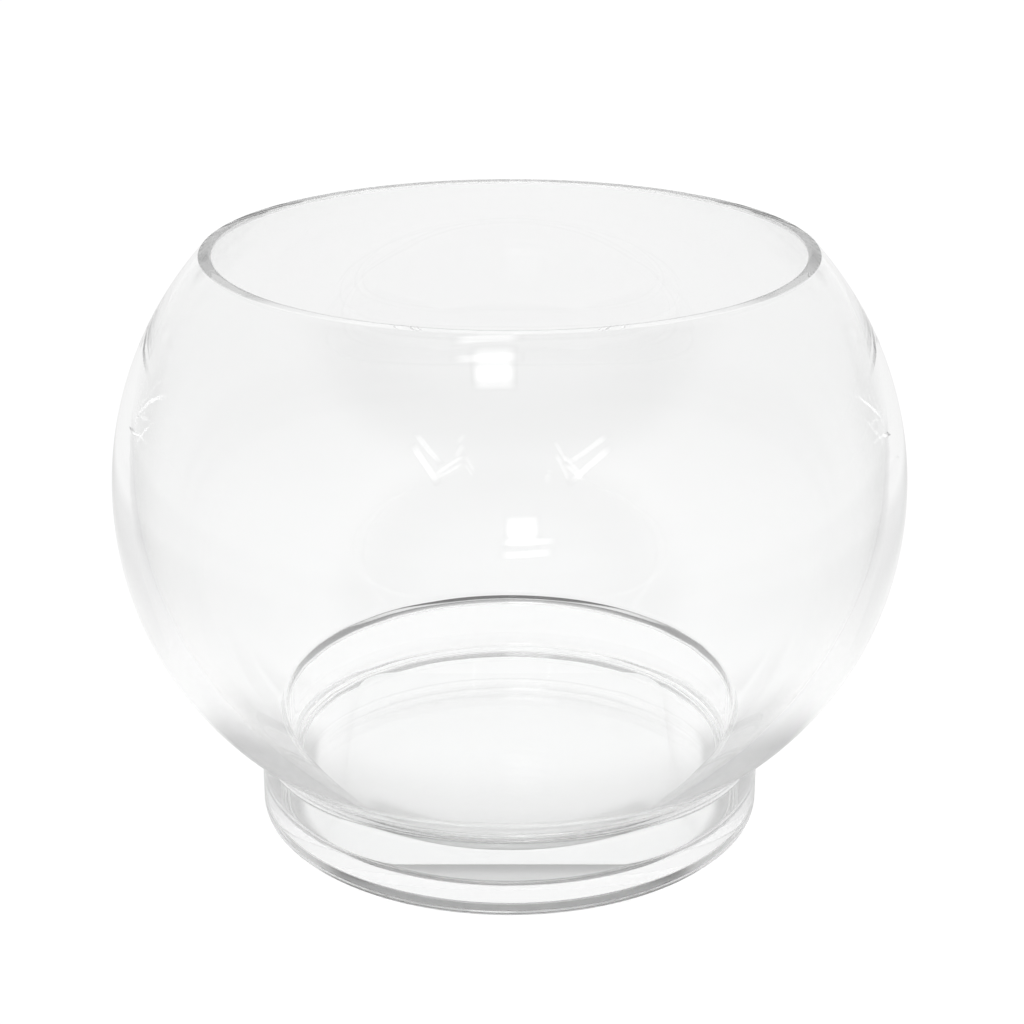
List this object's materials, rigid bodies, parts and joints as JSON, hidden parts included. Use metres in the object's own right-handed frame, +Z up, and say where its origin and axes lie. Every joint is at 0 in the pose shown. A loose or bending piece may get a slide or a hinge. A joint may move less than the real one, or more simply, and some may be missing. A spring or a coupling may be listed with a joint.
{
  "type": "rose bowl vase",
  "caption": "Clear glass rose bowl: a wide globe with a narrower cut rim, joined to a low hollow foot with a blank label beneath.",
  "frame": {"origin": "centre of the standing ring under the foot, on the standing surface", "axes": "+Z up along the axis the glass is turned about; the label's sides lie along X and Y"},
  "size_m": [0.2032, 0.2032, 0.152],
  "materials": {
    "clear_glass": "polished",
    "label_paper": "matte"
  },
  "bodies": {
    "root": {"bowl": "clear_glass", "foot": "clear_glass", "base_label": "label_paper"}
  },
  "joints": []
}
